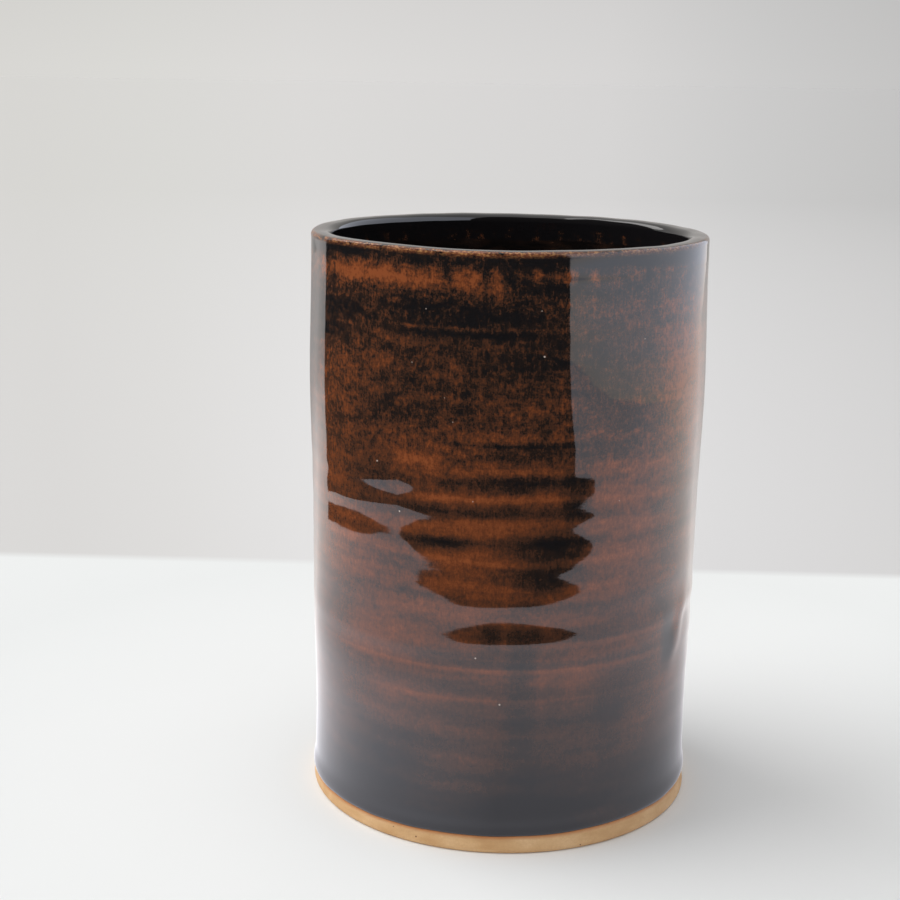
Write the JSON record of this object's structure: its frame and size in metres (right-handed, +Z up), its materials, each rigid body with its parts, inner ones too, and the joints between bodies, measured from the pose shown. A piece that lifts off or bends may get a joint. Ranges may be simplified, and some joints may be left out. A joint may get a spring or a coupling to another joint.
{
  "type": "brush pot",
  "caption": "Cylindrical hand-thrown stoneware pot with a dark iron glaze and a bare clay foot, open at the top, for standing brushes and pens in.",
  "frame": {"origin": "centre of the foot on the plane that the pot stands on", "axes": "+Z up along the pot's axis; the pot is round, so +X and +Y are free choices"},
  "size_m": [0.0794, 0.0794, 0.115],
  "materials": {
    "bare_stoneware": "unglazed buff stoneware, fine-grained with small iron specks",
    "liner_glaze": "glossy dark brown-black iron glaze, poured",
    "outside_glaze": "glossy black iron glaze breaking to rust brown along the throwing rings, dipped",
    "rim_glaze": "glossy iron glaze of the second dip, black below the lip and rust where it thins on the edge"
  },
  "bodies": {
    "root": {"stoneware_body": "bare_stoneware", "inner_glaze": "liner_glaze", "outer_glaze": "outside_glaze", "rim_glaze": "rim_glaze"}
  },
  "joints": []
}
